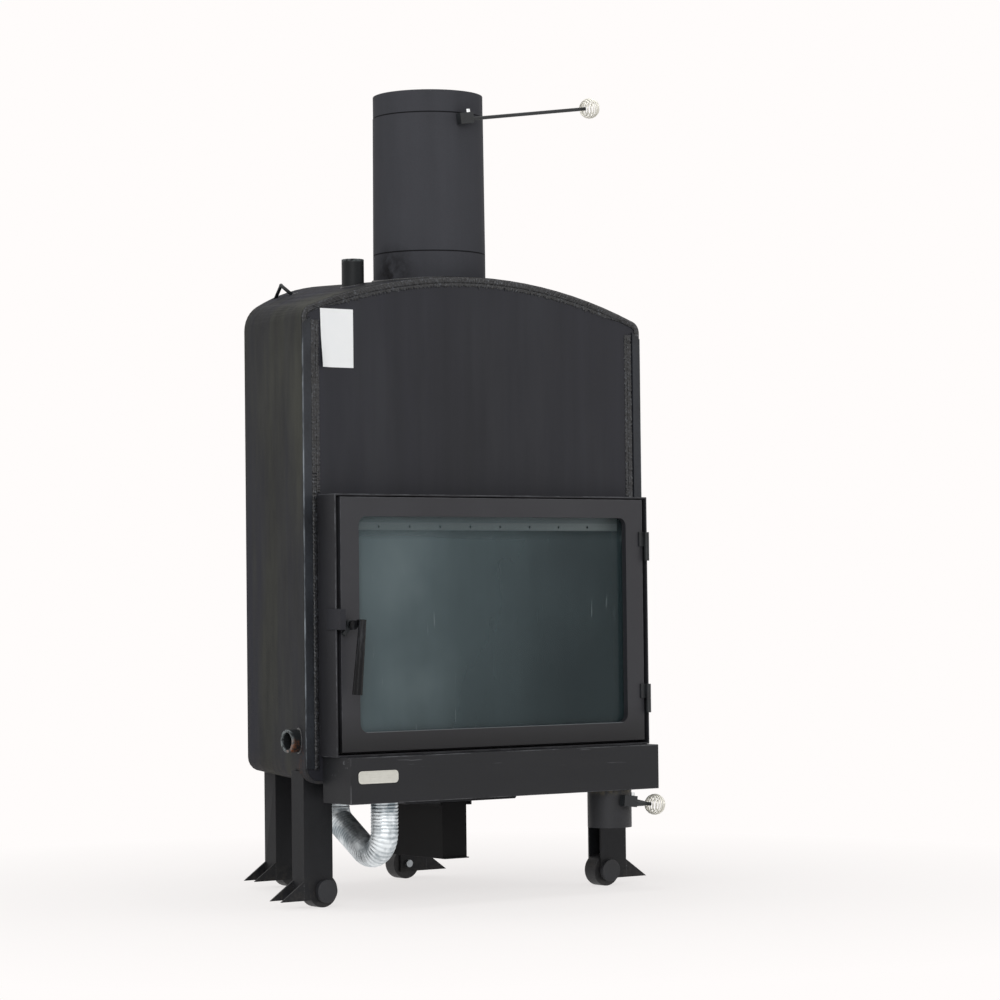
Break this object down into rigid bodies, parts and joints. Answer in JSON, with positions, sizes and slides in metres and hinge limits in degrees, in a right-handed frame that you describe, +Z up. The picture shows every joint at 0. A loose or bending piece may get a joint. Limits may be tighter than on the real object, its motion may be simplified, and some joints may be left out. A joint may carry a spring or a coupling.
{
  "type": "wood-fired boiler fireplace",
  "caption": "Upright steel boiler fireplace with an arched water jacket, glazed door, flue and damper, air tray, ribbed air hose, ash box and legs on rollers.",
  "frame": {"origin": "centre of the footprint, on the floor under the rollers", "axes": "+X right as seen from the front, +Y into the depth, +Z up"},
  "size_m": [0.798, 0.577, 1.4528],
  "materials": {
    "jacket_steel": "matt heat-proof black, slightly grey",
    "front_steel": "matt heat-proof black",
    "door_steel": "matt heat-proof black, a little smoother",
    "tray_steel": "matt heat-proof black",
    "flue_steel": "matt heat-proof black",
    "leg_steel": "matt heat-proof black",
    "inner_steel": "bare black mill steel",
    "grate_iron": "rough casting",
    "strip_steel": "heat-greyed",
    "bright_steel": "bright plated",
    "hose_aluminium": "bright crimped foil",
    "glass": "hazed heat-proof glass",
    "rope": "woven mineral rope",
    "plate_metal": "satin, bare",
    "label_paper": "matt, bare"
  },
  "bodies": {
    "boiler": {"body_jacket": "jacket_steel", "front_plate": "front_steel", "rear_plate": "jacket_steel", "front_weld_bead": "front_steel", "corner_strips": "jacket_steel", "firebox_shell": "inner_steel", "smoke_baffle": "inner_steel", "water_tubes": "inner_steel", "hearth_grate": "grate_iron", "ash_hopper": "inner_steel", "ash_box_rails": "inner_steel", "flue_collar": "flue_steel", "flue_pipe": "flue_steel", "flue_top_ring": "flue_steel", "flow_socket": "flue_steel", "return_socket": "front_steel", "lifting_loops": "inner_steel", "door_casing": "door_steel", "air_wash_strip": "strip_steel", "door_rope_gasket": "rope", "hinge_casing_pins": "door_steel", "latch_keeper": "door_steel", "sill_tray": "tray_steel", "name_plate": "plate_metal", "data_label": "label_paper", "air_inlet_stub": "tray_steel", "hose_collars": "hose_aluminium", "air_hose": "hose_aluminium", "front_leg_left": "leg_steel", "front_leg_right": "leg_steel", "rear_leg_left": "leg_steel", "rear_leg_right": "leg_steel", "front_axle_pins": "leg_steel", "rear_axle_bolts": "bright_steel", "rear_axle_nuts": "bright_steel"},
    "door": {"door_frame": "door_steel", "door_glass": "glass", "glass_gasket": "rope", "glass_clips": "bright_steel", "glass_screws": "bright_steel", "hinge_door_knuckles": "door_steel"},
    "latch": {"handle_arm": "front_steel", "handle_grip": "front_steel", "handle_spindle": "inner_steel", "latch_tongue": "front_steel"},
    "flue_damper": {"flue_damper_disc": "inner_steel", "flue_damper_spindle": "flue_steel", "flue_damper_lever": "flue_steel", "flue_damper_screw": "bright_steel", "flue_damper_knob": "bright_steel"},
    "air_damper": {"air_damper_disc": "inner_steel", "air_damper_spindle": "tray_steel", "air_damper_lever": "tray_steel", "air_damper_screw": "bright_steel", "air_damper_knob": "bright_steel"},
    "ash_drawer": {"ash_box": "front_steel"},
    "roller_fl": {"front_roller_left": "leg_steel"},
    "roller_fr": {"front_roller_right": "leg_steel"},
    "roller_rl": {"rear_roller_left": "leg_steel"},
    "roller_rr": {"rear_roller_right": "leg_steel"}
  },
  "joints": [
    {"name": "door_hinge", "type": "hinge", "parent": "boiler", "child": "door", "pos_m": [0.3345, -0.2372, 0.4846], "axis": [0, 0, 1], "range_deg": [0, 110]},
    {"name": "door_latch", "type": "hinge", "parent": "door", "child": "latch", "pos_m": [-0.317, -0.25695, 0.488], "axis": [0, -1, 0], "range_deg": [-40, 45]},
    {"name": "flue_damper_turn", "type": "hinge", "parent": "boiler", "child": "flue_damper", "pos_m": [0, -0.14395, 1.391], "axis": [0, -1, 0], "range_deg": [-8.5, 81.5]},
    {"name": "air_damper_turn", "type": "hinge", "parent": "boiler", "child": "air_damper", "pos_m": [0.255, -0.26945, 0.162], "axis": [0, 1, 0], "range_deg": [-6.3, 83.7]},
    {"name": "ash_box_slide", "type": "slide", "parent": "boiler", "child": "ash_drawer", "axis": [0, -1, 0], "range_m": [0, 0.18]},
    {"name": "roller_fl_spin", "type": "hinge", "parent": "boiler", "child": "roller_fl", "pos_m": [-0.31, -0.12405, 0.029], "axis": [0, 1, 0], "continuous": true},
    {"name": "roller_fr_spin", "type": "hinge", "parent": "boiler", "child": "roller_fr", "pos_m": [0.31, -0.12405, 0.029], "axis": [0, 1, 0], "continuous": true},
    {"name": "roller_rl_spin", "type": "hinge", "parent": "boiler", "child": "roller_rl", "pos_m": [-0.1265, 0.26055, 0.029], "axis": [0, 1, 0], "continuous": true},
    {"name": "roller_rr_spin", "type": "hinge", "parent": "boiler", "child": "roller_rr", "pos_m": [0.1265, 0.26055, 0.029], "axis": [0, 1, 0], "continuous": true}
  ]
}
